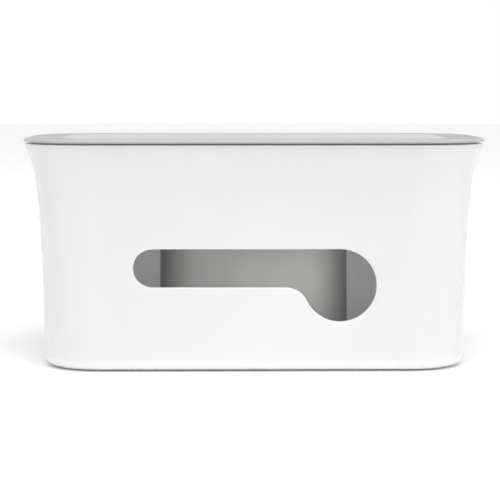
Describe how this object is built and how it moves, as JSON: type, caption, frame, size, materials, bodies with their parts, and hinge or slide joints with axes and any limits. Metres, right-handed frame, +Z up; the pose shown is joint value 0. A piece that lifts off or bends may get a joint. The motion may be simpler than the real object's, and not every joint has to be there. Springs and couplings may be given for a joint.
{
  "type": "cable box",
  "caption": "Lidded desktop cable box with flaring walls, a keyhole cable outlet in one long wall, a winding core inside and a flush mat in its lift-off lid.",
  "frame": {"origin": "middle of the footprint, on the surface that the feet stand on", "axes": "+X along the box, towards the round end of the cable outlet; the wall with the outlet faces -Y; +Z up"},
  "size_m": [0.24, 0.136, 0.119],
  "materials": {
    "tub_shell": "satin",
    "core_plastic": "matte",
    "lid_plastic": "satin",
    "lid_mat": "matte",
    "foot_rubber": "matte"
  },
  "bodies": {
    "tub": {"tub": "tub_shell", "winding_core": "core_plastic", "foot_front_left": "foot_rubber", "foot_front_right": "foot_rubber", "foot_back_left": "foot_rubber", "foot_back_right": "foot_rubber"},
    "lid": {"lid": "lid_plastic", "lid_mat": "lid_mat"}
  },
  "joints": [
    {"name": "lid_lift", "type": "slide", "parent": "tub", "child": "lid", "axis": [0, 0, 1], "range_m": [0, 0.12]}
  ]
}
